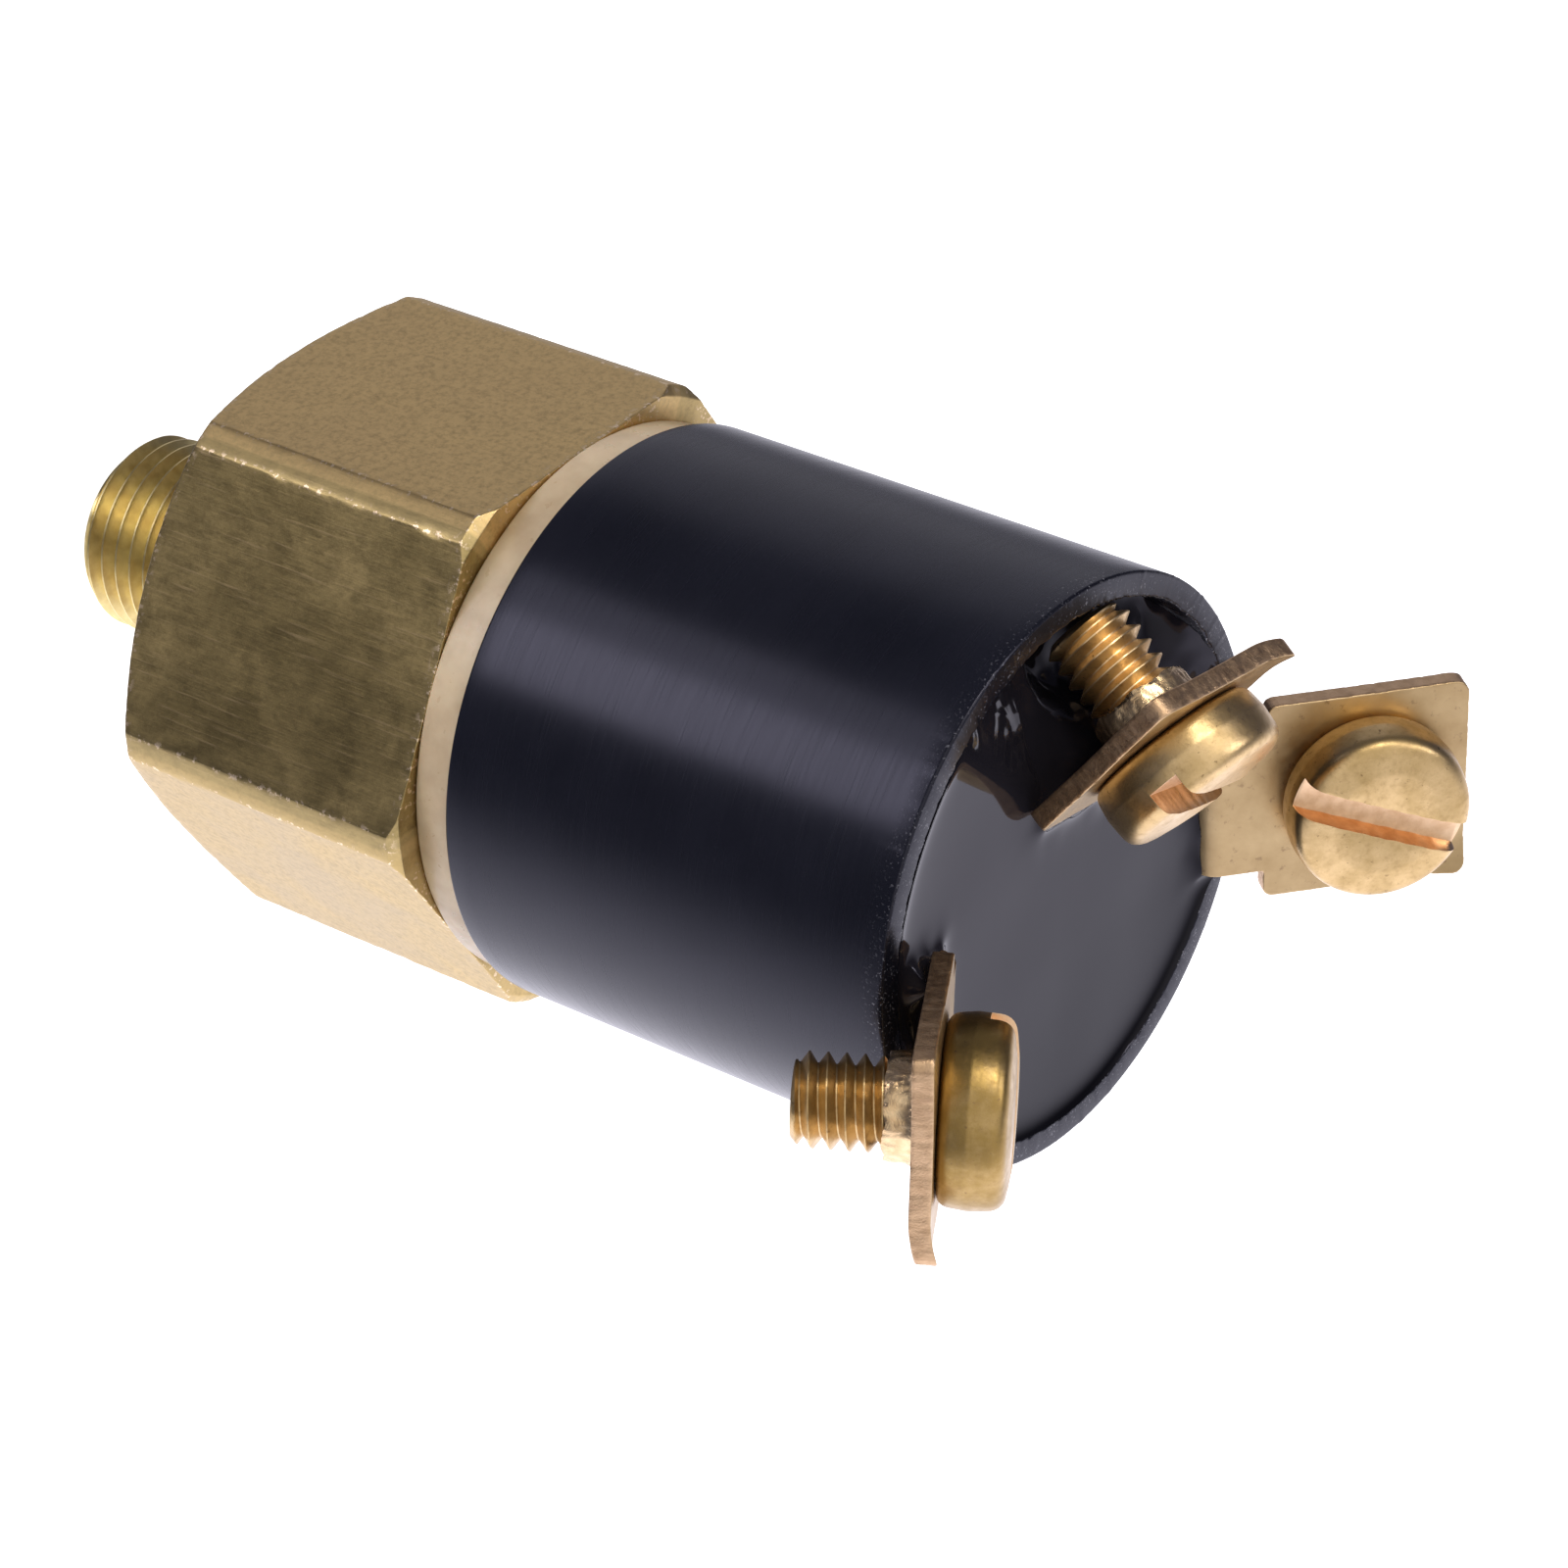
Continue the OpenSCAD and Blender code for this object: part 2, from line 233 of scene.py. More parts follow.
class Shader:
    """A node material, built up by small calls that each return an output socket."""

    def __init__(self, name):
        self.material = bpy.data.materials.new(name)
        self.material.use_nodes = True
        self.tree = self.material.node_tree
        self.bsdf = self.tree.nodes["Principled BSDF"]
        coords = self.tree.nodes.new("ShaderNodeTexCoord")
        scale = self.tree.nodes.new("ShaderNodeMapping")
        scale.inputs["Scale"].default_value = (1 / MM,) * 3
        self.tree.links.new(coords.outputs["Object"], scale.inputs["Vector"])
        self.mm = scale.outputs[0]

    def feed(self, socket, value):
        """Links an output into a socket, or gives the socket a plain value."""
        if isinstance(value, bpy.types.NodeSocket):
            self.tree.links.new(value, socket)
        else:
            socket.default_value = value

    def set(self, name, value):
        self.feed(self.bsdf.inputs[name], value)
        return self

    def stretched(self, scale):
        """Coordinates in millimetres, times a scale for each axis."""
        node = self.tree.nodes.new("ShaderNodeMapping")
        node.inputs["Scale"].default_value = scale
        self.tree.links.new(self.mm, node.inputs["Vector"])
        return node.outputs[0]

    def noise(self, size, detail=3.0, rough=0.55, vector=None, distortion=0.0):
        """Noise from 0 to 1 with blotches of about that many millimetres."""
        node = self.tree.nodes.new("ShaderNodeTexNoise")
        node.inputs["Scale"].default_value = 1.0 / size
        node.inputs["Detail"].default_value = detail
        node.inputs["Roughness"].default_value = rough
        node.inputs["Distortion"].default_value = distortion
        self.tree.links.new(vector or self.mm, node.inputs["Vector"])
        return node.outputs[0]

    def attribute(self, name):
        node = self.tree.nodes.new("ShaderNodeAttribute")
        node.attribute_name = name
        return node.outputs["Fac"]

    def remap(self, value, low, high, to_low=0.0, to_high=1.0):
        node = self.tree.nodes.new("ShaderNodeMapRange")
        for socket, number in zip(("From Min", "From Max", "To Min", "To Max"), (low, high, to_low, to_high)):
            node.inputs[socket].default_value = number
        self.tree.links.new(value, node.inputs["Value"])
        return node.outputs[0]

    def math(self, kind, a, b):
        node = self.tree.nodes.new("ShaderNodeMath")
        node.operation = kind
        self.feed(node.inputs[0], a)
        self.feed(node.inputs[1], b)
        return node.outputs[0]

    def mix(self, factor, a, b):
        """Blends two colours, each an (r, g, b) tuple or an output."""
        node = self.tree.nodes.new("ShaderNodeMix")
        node.data_type = "RGBA"
        self.tree.links.new(factor, node.inputs["Factor"])
        for index, colour in ((MIX_A, a), (MIX_B, b)):
            self.feed(node.inputs[index], (*colour, 1.0) if isinstance(colour, tuple) else colour)
        return node.outputs[MIX_OUT]

    def bump(self, height, strength, depth_mm):
        node = self.tree.nodes.new("ShaderNodeBump")
        node.inputs["Strength"].default_value = strength
        node.inputs["Distance"].default_value = depth_mm * MM
        self.tree.links.new(height, node.inputs["Height"])
        return node.outputs[0]


def tarnished_brass():
    """Hex bar: smooth satin flats, some clouded olive and dark, partly real tarnish and partly painted shade
    set flat by flat, grain along it, bright burrs on the edges.
    """
    s = Shader("tarnished_brass")
    tarnish, turned = s.attribute("tarnish"), s.attribute("turned")
    blotch = s.remap(s.noise(5.5, 5, 0.6, distortion=0.6), 0.34, 0.66)
    fine = s.noise(0.30, 5, 0.7)
    patina = s.remap(s.noise(1.0, 7, 0.8, s.stretched((1.0, 1.0, 0.6))), 0.44, 0.66)
    scratch = s.noise(0.22, 3, 0.6, s.stretched((1.0, 1.0, 0.05)))
    colour = s.mix(blotch, (0.67, 0.47, 0.20), (0.78, 0.56, 0.245))
    dulled = s.mix(blotch, (0.35, 0.265, 0.105), (0.50, 0.38, 0.16))
    # the per-flat value blends towards the dulled colour: partly real tarnish, partly painted shade, each
    # flat darker or brighter for the light it catches
    colour = s.mix(tarnish, colour, dulled)
    dark = s.math("MULTIPLY", patina, s.remap(tarnish, 0.6, 1.0, 0.10, 0.80))
    colour = s.mix(dark, colour, (0.20, 0.155, 0.065))
    colour = s.mix(s.remap(fine, 0.45, 0.85, 0.0, 0.7), colour, (0.23, 0.165, 0.072))
    scored = s.math("MULTIPLY", s.remap(scratch, 0.60, 0.72), s.remap(tarnish, 0.6, 1.0, 0.1, 0.55))
    colour = s.mix(scored, colour, (0.66, 0.49, 0.24))
    colour = s.mix(s.math("MULTIPLY", turned, 0.3), colour, (0.80, 0.62, 0.29))
    wear = s.attribute("wear")
    colour = s.mix(s.math("MULTIPLY", wear, s.remap(fine, 0.3, 0.8, 0.0, 0.6)), colour, (0.66, 0.50, 0.24))
    burrs = s.remap(s.noise(0.30, 2, 0.6), 0.57, 0.62)
    colour = s.mix(s.math("MULTIPLY", wear, burrs), colour, (0.98, 0.78, 0.52))
    s.set("Base Color", colour).set("Metallic", 1.0)
    rough = s.remap(s.math("ADD", fine, blotch), 0.5, 1.5, 0.34, 0.44)
    s.set("Roughness", s.math("ADD", rough, s.math("MULTIPLY", turned, 0.08)))
    s.set("Normal", s.bump(s.math("ADD", scratch, fine), 0.30, 0.025))
    return s.material


def bright_brass():
    """Machined thread: clean gold with small brown stains."""
    s = Shader("bright_brass")
    stain = s.remap(s.noise(1.3, 4, 0.6), 0.4, 0.7)
    colour = s.mix(stain, (0.86, 0.72, 0.34), (0.66, 0.51, 0.22))
    s.set("Base Color", colour).set("Metallic", 1.0)
    s.set("Roughness", s.remap(s.noise(0.4, 3), 0.3, 0.7, 0.30, 0.42))
    s.set("Normal", s.bump(s.noise(0.12, 3), 0.2, 0.01))
    return s.material


def sheet_brass():
    """Rolled strip: satin, faint grain, small brown stains."""
    s = Shader("sheet_brass")
    cloud = s.remap(s.noise(2.4, 4, 0.6), 0.35, 0.68)
    colour = s.mix(cloud, (0.57, 0.42, 0.225), (0.46, 0.325, 0.165))
    stain = s.remap(s.noise(0.5, 4, 0.65), 0.60, 0.74)
    colour = s.mix(stain, colour, (0.30, 0.20, 0.11))
    s.set("Base Color", colour).set("Metallic", 1.0)
    s.set("Roughness", s.remap(s.noise(0.8, 4), 0.3, 0.7, 0.30, 0.44))
    s.set("Normal", s.bump(s.noise(0.14, 4, 0.6), 0.3, 0.012))
    return s.material


def sheared_brass():
    """Cut edge of the strip: pinkish brown, streaked across the thickness."""
    s = Shader("sheared_brass")
    streak = s.attribute("streak")
    tone = s.remap(s.noise(0.7, 4, 0.6), 0.35, 0.7)
    colour = s.mix(tone, (0.68, 0.465, 0.275), (0.54, 0.355, 0.20))
    colour = s.mix(s.remap(streak, 0.55, 0.95, 0.0, 0.7), colour, (0.33, 0.20, 0.12))
    s.set("Base Color", colour).set("Metallic", 1.0)
    s.set("Roughness", s.remap(s.noise(0.3, 3), 0.3, 0.7, 0.32, 0.46))
    s.set("Normal", s.bump(s.math("ADD", streak, s.noise(0.1, 3, 0.6)), 0.6, 0.035))
    return s.material


def torn_brass():
    """Drawn boss: bright, crumpled metal."""
    s = Shader("torn_brass")
    colour = s.mix(s.remap(s.noise(0.5, 4), 0.35, 0.65), (0.96, 0.72, 0.42), (0.78, 0.54, 0.29))
    s.set("Base Color", colour).set("Metallic", 1.0).set("Roughness", 0.27)
    s.set("Normal", s.bump(s.noise(0.45, 5, 0.65, distortion=1.0), 0.6, 0.05))
    return s.material


def screw_brass():
    """Turned screw: from clean pinkish gold to brown, with a haze and small stains."""
    s = Shader("screw_brass")
    haze = s.noise(1.6, 5, 0.65)
    fine = s.noise(0.35, 5, 0.7)
    # each screw's head and shank are darkened by their own amount from the terminal table
    dull = s.math("ADD", s.attribute("tarnish"), s.remap(haze, 0.36, 0.66, -0.16, 0.16))
    colour = s.mix(dull, (0.90, 0.66, 0.355), (0.37, 0.245, 0.08))
    colour = s.mix(s.remap(fine, 0.50, 0.85, 0.0, 0.7), colour, (0.33, 0.21, 0.085))
    spots = s.remap(s.noise(0.3, 3, 0.6), 0.66, 0.76)
    colour = s.mix(spots, colour, (0.24, 0.15, 0.07))
    s.set("Base Color", colour).set("Metallic", 1.0)
    s.set("Roughness", s.remap(s.math("ADD", fine, haze), 0.7, 1.3, 0.26, 0.42))
    s.set("Normal", s.bump(s.math("ADD", fine, s.noise(1.2, 3)), 0.30, 0.03))
    return s.material


def cut_brass():
    """Freshly cut slot: coppery, with fine lines."""
    s = Shader("cut_brass")
    colour = s.mix(s.remap(s.noise(0.6, 4), 0.35, 0.65), (0.88, 0.63, 0.40), (0.72, 0.48, 0.28))
    s.set("Base Color", colour).set("Metallic", 1.0).set("Roughness", 0.30)
    s.set("Normal", s.bump(s.noise(0.09, 3, 0.6), 0.35, 0.015))
    return s.material


def satin_black():
    """Sleeve: satin black with fine scratches that run round it, and dust along the rim."""
    s = Shader("satin_black")
    lines = s.noise(0.11, 4, 0.6, s.stretched((0.03, 0.03, 1.0)))
    cloud = s.noise(5.0, 3)
    dust = s.math("MULTIPLY", s.attribute("wear"), s.remap(s.noise(0.13, 3, 0.6), 0.60, 0.68))
    colour = s.mix(s.remap(cloud, 0.3, 0.7), (0.0035, 0.004, 0.007), (0.0055, 0.006, 0.010))
    colour = s.mix(dust, colour, (0.40, 0.40, 0.44))
    s.set("Base Color", colour).set("Specular IOR Level", 0.33)
    s.set("Specular Tint", (0.83, 0.82, 1.0, 1.0))
    s.set("Roughness", s.remap(lines, 0.3, 0.7, 0.215, 0.285))
    s.set("Normal", s.bump(lines, 0.05, 0.008))
    return s.material


def potting_resin():
    """Cast resin: glossy black, faintly wavy, with its base colour darkened smoothly across the surface as
    painted shade.
    """
    s = Shader("potting_resin")
    # painted shade: the base colour darkens smoothly towards +y and -x, with a little random tone on top
    film = s.math("ADD", s.attribute("film"), s.remap(s.noise(4.0, 2), 0.3, 0.7, -0.1, 0.1))
    colour = s.mix(film, (0.013, 0.012, 0.016), (0.003, 0.003, 0.004))
    s.set("Base Color", colour).set("Specular IOR Level", 0.24)
    s.set("Specular Tint", (0.90, 0.87, 1.0, 1.0))
    s.set("Roughness", s.remap(s.noise(2.5, 3), 0.3, 0.7, 0.04, 0.09))
    s.set("Normal", s.bump(s.noise(3.5, 2), 0.05, 0.08))
    return s.material


def cream_nylon():
    """Insulator flange: ivory moulding with a soft gloss."""
    s = Shader("cream_nylon")
    tone = s.remap(s.noise(2.5, 4, 0.6), 0.35, 0.7)
    colour = s.mix(tone, (0.40, 0.31, 0.195), (0.30, 0.22, 0.13))
    dirt = s.remap(s.noise(0.5, 4, 0.65), 0.64, 0.78)
    colour = s.mix(dirt, colour, (0.30, 0.22, 0.13))
    s.set("Base Color", colour).set("Subsurface Weight", 0.15).set("Subsurface Scale", 0.4 * MM)
    s.set("Roughness", s.remap(s.noise(0.6, 3), 0.3, 0.7, 0.26, 0.40))
    s.set("Normal", s.bump(s.noise(0.5, 3), 0.15, 0.02))
    return s.material


def plain_metal(name, light, dark, rough, metallic=1.0):
    """For pieces inside: two tones of one finish with a fine grain."""
    s = Shader(name)
    s.set("Base Color", s.mix(s.noise(0.8, 4), light, dark)).set("Metallic", metallic)
    s.set("Roughness", s.remap(s.noise(0.4, 3), 0.3, 0.7, rough - 0.06, rough + 0.06))
    s.set("Normal", s.bump(s.noise(0.15, 3), 0.2, 0.01))
    return s.material


HEX_BRASS = tarnished_brass()
THREAD_BRASS = bright_brass()
SHEET = sheet_brass()
SHEARED = sheared_brass()
TORN = torn_brass()
SCREW = screw_brass()
CUT = cut_brass()
SLEEVE = satin_black()
RESIN = potting_resin()
CREAM = cream_nylon()
STEEL = plain_metal("stainless_steel", (0.58, 0.58, 0.60), (0.46, 0.46, 0.48), 0.32)
SPRING = plain_metal("spring_steel", (0.42, 0.42, 0.44), (0.30, 0.30, 0.32), 0.36)
BRONZE = plain_metal("phosphor_bronze", (0.66, 0.43, 0.27), (0.52, 0.32, 0.19), 0.34)
SILVER = plain_metal("contact_silver", (0.80, 0.79, 0.76), (0.66, 0.65, 0.62), 0.22)
RUBBER = plain_metal("seal_rubber", (0.020, 0.020, 0.021), (0.032, 0.032, 0.033), 0.6, 0.0)
FIBRE = plain_metal("fibre_sheet", (0.20, 0.085, 0.05), (0.13, 0.055, 0.032), 0.62, 0.0)
ROD = plain_metal("insulating_rod", (0.62, 0.55, 0.41), (0.52, 0.45, 0.33), 0.42, 0.0)

# ---- hex fitting ----


HEX_HALF = math.acos(HEX_FLAT_R / CORNER_R)  # half a flat, as an angle at the axis
CHAMFER_R = CORNER_R - 1.1 * math.tan(math.radians(60))  # where the front chamfer starts
BACK_R = CORNER_R - 0.45
SEAT_R, SEAT_Z = 11.3, 6.0  # the recess that takes the insulator
CORE_R = THREAD_R - 0.9  # inside this radius the thread's own piece fills the bar
# how dark each flat is made, from the one at HEX_TURN round: partly real tarnish, partly painted light, each
# flat made brighter or darker for the light it catches
HEX_TARNISH_AND_SHADE = (1.0, 0.6, 0.75, 0.85, 0.7, 0.0)


def hex_columns():
    """Angles round the hex: close together near each turned corner."""
    flat = [HEX_HALF * math.sin(math.pi / 2 * t) for t in np.linspace(-1, 1, 61)]
    corner = list(np.linspace(HEX_HALF, math.pi / 3 - HEX_HALF, 9)[1:-1])
    return [HEX_TURN + side * math.pi / 3 + a for side in range(6) for a in flat + corner]


def hex_local(angle):
    """The angle, measured from the middle of the flat it falls on."""
    return (angle - HEX_TURN + math.pi / 6) % (math.pi / 3) - math.pi / 6


def hex_radius(angle):
    """Radius of the hex bar with its turned corners, blended over a small edge."""
    flat, soft = HEX_FLAT_R / math.cos(hex_local(angle)), 0.05
    h = max(0.0, min(1.0, 0.5 + 0.5 * (CORNER_R - flat) / soft))
    return CORNER_R * (1 - h) + flat * h - soft * h * (1 - h)


def hex_side(r):
    """Where the front and back chamfers meet a side that lies at radius r."""
    front = (r - CHAMFER_R) * math.tan(math.radians(30))
    back = HEX_TOP_Z - max(0.06, (r - BACK_R) * 0.9)
    return front, back


def hex_profile(r):
    """Half section of the bar, closed, where its side lies at radius r."""
    front, back = hex_side(r)
    profile = [(CORE_R, 0.0), (8.0, 0.0), (11.0, 0.0)]
    profile += rounded_run([(11.0, 0.0), (CHAMFER_R, 0.0), (r, front), (r, back)], 0.09)
    low, high, rows = profile[-1][1], back - 0.12, 46
    profile += [(r, low + (high - low) * k / rows) for k in range(1, rows + 1)]
    top = [(min(r, BACK_R) - 0.02, HEX_TOP_Z), (12.0, HEX_TOP_Z)]
    profile += rounded_run([(r, high), (r, back)] + top, 0.07)
    return profile + [(12.0, HEX_TOP_Z), (SEAT_R, HEX_TOP_Z), (SEAT_R, SEAT_Z), (CORE_R, SEAT_Z)]


def hex_edge_distance(r, z, angle, on_side):
    """Distance from a point on the bar to its nearest edge; the turned corners count if it's on_side."""
    side = hex_radius(angle)
    front, back = hex_side(side)
    edges = [math.hypot(r - side, z - front), math.hypot(r - side, z - back)]
    if on_side:
        edges.append(abs(abs(hex_local(angle)) - HEX_HALF) * CORNER_R)
    return min(edges)


def hex_piece():
    """The bar: 30 degree front chamfer that bows across each flat, small back chamfer, nicked edges."""
    columns = hex_columns()
    sections = []
    for angle in columns:
        way = Vector((math.cos(angle), math.sin(angle), 0))
        section = []
        for r, z in hex_profile(hex_radius(angle)):
            p = Vector((r * math.cos(angle), r * math.sin(angle), z))
            if r > SEAT_R + 0.2:
                edge = hex_edge_distance(r, z, angle, 0.2 < z < HEX_TOP_Z - 0.2)
                worn = math.exp(-((edge / 0.16) ** 2))
                nick = worn * max(0.0, sample(p, 0.55, 3.1)) * 0.07 + worn * sample(p, 0.2, 8.7) * 0.018
                p -= way * nick
            section.append(tuple(p))
        sections.append(section)
    verts = [point for ring in zip(*sections) for point in ring]
    obj = mesh_object("fitting_hex", verts, ring_faces(len(sections[0]), len(columns)), sharp=50)
    marks = {"wear": [], "turned": [], "tarnish": []}
    for v in obj.data.vertices:
        p = v.co / MM
        r, angle = math.hypot(p.x, p.y), math.atan2(p.y, p.x)
        edge = hex_edge_distance(r, p.z, angle, r > hex_radius(angle) - 0.15)
        marks["wear"].append(math.exp(-((edge / 0.13) ** 2)))
        marks["turned"].append(1.0 if abs(hex_local(angle)) > HEX_HALF + 0.003 else 0.0)
        # per-flat value: partly real tarnish, partly painted light for how much light each flat catches
        marks["tarnish"].append(HEX_TARNISH_AND_SHADE[round((angle - HEX_TURN) / (math.pi / 3)) % 6])
    for name, values in marks.items():
        float_attribute(obj, name, values)
    obj.data.materials.append(HEX_BRASS)
    return place(obj, "switch_body", ["base_fitting"])


# ---- threads ----


def thread_mesh(z0, z1, pitch, crest, depth, ends, cols, rough, crest_flat=0.10, seed=0.0):
    """A screw thread round +Z from z0 to z1, right-handed.

    crest(z) is the crest radius, depth(z) the thread's depth, ends(r, z) trims it, rough makes it uneven.
    Returns its points, its faces and how many rings it has; the first and last rings are flat.
    """
    # where the rings lie along one pitch: close together at the crest's and the root's edges
    stops = [0.0, crest_flat, crest_flat + 0.12, 0.31, 0.43, 0.5, 0.5 + crest_flat, 0.69, 0.81, 0.90]
    per = len(stops)
    turns = int((z1 - z0) / pitch) + 3
    rows = [k + s for k in range(-1, turns) for s in stops]
    half = crest_flat / 2

    def wave(phase):
        """1 on the crest, 0 in the root, straight flanks between."""
        away = min(abs(phase - half), abs(phase - half - 1), abs(phase - half + 1))
        return 1 - min(1.0, max(0.0, (away - half) / (0.5 - 2 * half)))

    verts = []
    for row in rows:
        for c in range(cols):
            a = TAU * c / cols
            z = min(z1, max(z0, z0 + pitch * (row + c / cols)))
            phase = ((z - z0) / pitch - c / cols) % 1.0
            r = crest(z) - depth(z) * (1 - wave(phase))
            p = Vector((r * math.cos(a), r * math.sin(a), z))
            r = ends(r + rough * noise.noise(p * 2.2 + Vector((seed, 0, 0))), z)
            verts.append((r * math.cos(a), r * math.sin(a), z))
    faces = []
    for j in range(len(rows) - 1):
        for c in range(cols):
            if c < cols - 1:
                quad = (j * cols + c, j * cols + c + 1, (j + 1) * cols + c + 1, (j + 1) * cols + c)
            elif j + 1 + per < len(rows):
                quad = (j * cols + c, (j + per) * cols, (j + 1 + per) * cols, (j + 1) * cols + c)
            else:
                last = (len(rows) - 1) * cols
                quad = (j * cols + c, last, last, (j + 1) * cols + c)
            faces.append(quad)
    return verts, [f for f in faces if len(set(f)) > 2], len(rows)


def thread_piece():
    """The stub: 27 threads to the inch, tapering 1 in 16, with a chamfered tip and the port."""
    pitch, taper = 25.4 / 27, 1 / 32
    full_depth, tip_r = 0.66, 4.15

    def crest(z):
        return THREAD_R + 0.06 + z * taper * 0.8

    def depth(z):
        return full_depth * smoothstep(0.0, -1.6, z)

    def ends(r, z):
        return min(r, tip_r + (z - STUB_Z) * 0.95)

    cols = 160
    verts, faces, rows = thread_mesh(STUB_Z, 0.6, pitch, crest, depth, ends, cols, 0.012)
    base = len(verts)
    inside = [(tip_r - 0.35, STUB_Z), (BORE_R + 0.3, STUB_Z), (BORE_R, STUB_Z + 0.3)]
    inside += [(BORE_R, 5.0), (THREAD_R, 5.0)]
    for r, z in inside:
        verts += circle(r, z, cols)
    loops = [0] + [base + k * cols for k in range(len(inside))] + [(rows - 1) * cols]
    for a, b in zip(loops, loops[1:]):
        faces += bridge(a, b, cols)
    obj = mesh_object("fitting_thread", verts, faces, sharp=35)
    obj.data.materials.append(THREAD_BRASS)
    return place(obj, "switch_body", ["base_fitting"])


# ---- insulator flange, sleeve, potting ----


def flange_piece():
    """The moulded body, of which the rounded flange shows."""
    low, high = span("insulator_body")
    skirt_r, plug_r = SEAT_R - 0.25, INNER_R - 0.06
    bore_r, adjuster_r, pin_hole_r, step_z = 7.0, 6.2, 1.05, low + 7.5
    corners = [
        (skirt_r, low, 0.1), (skirt_r, HEX_TOP_Z, 0.0), (FLANGE_R, HEX_TOP_Z, 0.25),
        (FLANGE_R, SLEEVE_Z, 0.25), (plug_r, SLEEVE_Z, 0.0), (plug_r, high, 0.2),
        (pin_hole_r, high, 0.1), (pin_hole_r, high - 2.5, 0.0), (adjuster_r, high - 2.8, 0.0),
        (adjuster_r, step_z, 0.0), (bore_r, step_z, 0.0), (bore_r, low, 0.1)]

    def ripple(r, z, a):
        wave = 0.03 * sample((r * math.cos(a), r * math.sin(a), z), 3.0, 5.0)
        return (wave, 0.0) if r > 13 else (0.0, 0.0)

    obj = lathe("insulator_moulding", rounded(corners, 4), 320, 45, ripple)
    obj.data.materials.append(CREAM)
    return place(obj, "switch_body", ["insulator_body"])


def sleeve_piece():
    """Thin tube: softened rims, the inner rim edge slightly ragged, burrs on the outer one."""
    height = RIM_Z - SLEEVE_Z
    outline = rounded(
        [(SLEEVE_R, SLEEVE_Z, 0.14), (SLEEVE_R, RIM_Z, 0.16),
         (INNER_R, RIM_Z, 0.12), (INNER_R, SLEEVE_Z, 0.05)],
        4)
    walls = []
    for i, (r, z) in enumerate(outline):
        walls.append((r, z))
        nr, nz = outline[(i + 1) % len(outline)]
        if abs(nz - z) > 0.5 * height:
            walls += [(r + (nr - r) * k / 24, z + (nz - z) * k / 24) for k in range(1, 24)]

    def ripple(r, z, a):
        p = (r * math.cos(a), r * math.sin(a), z)
        near = math.exp(-((RIM_Z - z) / 0.2) ** 2)
        if r < INNER_R + 0.3:
            return near * (0.11 * sample(p, 0.55, 2.0) + 0.08 * sample(p, 0.2, 4.0)), 0.0
        burr = max(0.0, sample(p, 0.35, 9.0) - 0.25) * near
        return 0.07 * burr, 0.04 * burr

    obj = lathe("sleeve_tube", walls, 720, 45, ripple)
    wear = []
    for v in obj.data.vertices:
        p = v.co / MM
        r = math.hypot(p.x, p.y)
        edge = math.hypot(r - SLEEVE_R, p.z - RIM_Z)
        patch = smoothstep(-0.1, 0.5, sample((p.x, p.y, 0), 6.0, 1.3))
        inner = math.hypot(r - INNER_R, p.z - RIM_Z)
        dusty = math.exp(-((edge / 0.18) ** 2)) * (0.25 + 0.75 * patch)
        wear.append(dusty + 0.8 * math.exp(-((inner / 0.12) ** 2)))
    float_attribute(obj, "wear", wear)
    obj.data.materials.append(SLEEVE)
    return place(obj, "switch_body", ["housing_sleeve"])


# ---- terminals ----


class Terminal:
    """One terminal's axes, read from its wire mount: out along the tab, across it, and up to the head."""

    def __init__(self, name, mount, neck, slot_turn, bent_side, dull_head, shank_darkening):
        self.name = name
        self.dull_head, self.shank_darkening = dull_head, shank_darkening
        self.hole = Vector(MOUNTS[mount]["pos_m"]) / MM
        self.up = Vector(MOUNTS[mount]["axis"]).normalized()
        flat = Vector((self.up.x, self.up.y))
        self.bend = math.acos(flat.length)
        outward = -flat.normalized()
        self.out = Vector((self.up.z * outward.x, self.up.z * outward.y, flat.length))
        self.across = self.up.cross(self.out)
        self.outward = outward
        self.neck = neck
        self.slot_turn = math.radians(slot_turn)
        self.bent_side = bent_side
        self.foot = self.hole - self.out * neck

    def point(self, u, v, w):
        """u out along the tab, v across it, w towards the screw head."""
        return self.hole + self.out * u + self.across * v + self.up * w


# name, wire mount, neck's length, slot's turn, which corner is bent, how much head and shank are darkened
TERMINALS = [
    Terminal("common", "common_wire", 7.2, -22, -1, 0.56, 0.50),
    Terminal("no", "normally_open_wire", 5.1, 70, -1, 0.50, 0.0),
    Terminal("nc", "normally_closed_wire", 6.5, 70, 1, 0.95, 0.55),
]


def tab_outline(neck_len):
    """Plate and neck, counter-clockwise from the tip, with points close together."""
    half_w, half_l, half_n = TAB_W / 2, TAB_LEN / 2, NECK_W / 2
    corners = [
        (half_l, -half_w, 0.75), (half_l, half_w, 0.75), (-half_l, half_w, 0.55),
        (-half_l, half_n, 0.15), (-neck_len, half_n, 0.0), (-neck_len, -half_n, 0.0),
        (-half_l, -half_n, 0.15), (-half_l, -half_w, 0.55)]
    outline = rounded(corners, 6)
    dense = []
    for (ax, ay), (bx, by) in zip(outline, outline[1:] + outline[:1]):
        steps = max(1, round(math.hypot(bx - ax, by - ay) / 0.16))
        dense += [(ax + (bx - ax) * k / steps, ay + (by - ay) * k / steps) for k in range(steps)]
    return dense


def bend_strip(t, u, w):
    """Where a point of the flat strip goes once its neck is bent down into the potting."""
    start = -t.neck + BEND_R * math.tan(t.bend / 2)
    run = start - u
    if run <= 0:
        return u, w
    turn = min(run / BEND_R, t.bend)
    rest = max(0.0, run - BEND_R * t.bend)
    u2 = start - (BEND_R + w) * math.sin(turn) - rest * math.cos(turn)
    w2 = -BEND_R + (BEND_R + w) * math.cos(turn) - rest * math.sin(turn)
    return u2, w2


FACE, EDGE, BOSS = 0, 1, 2


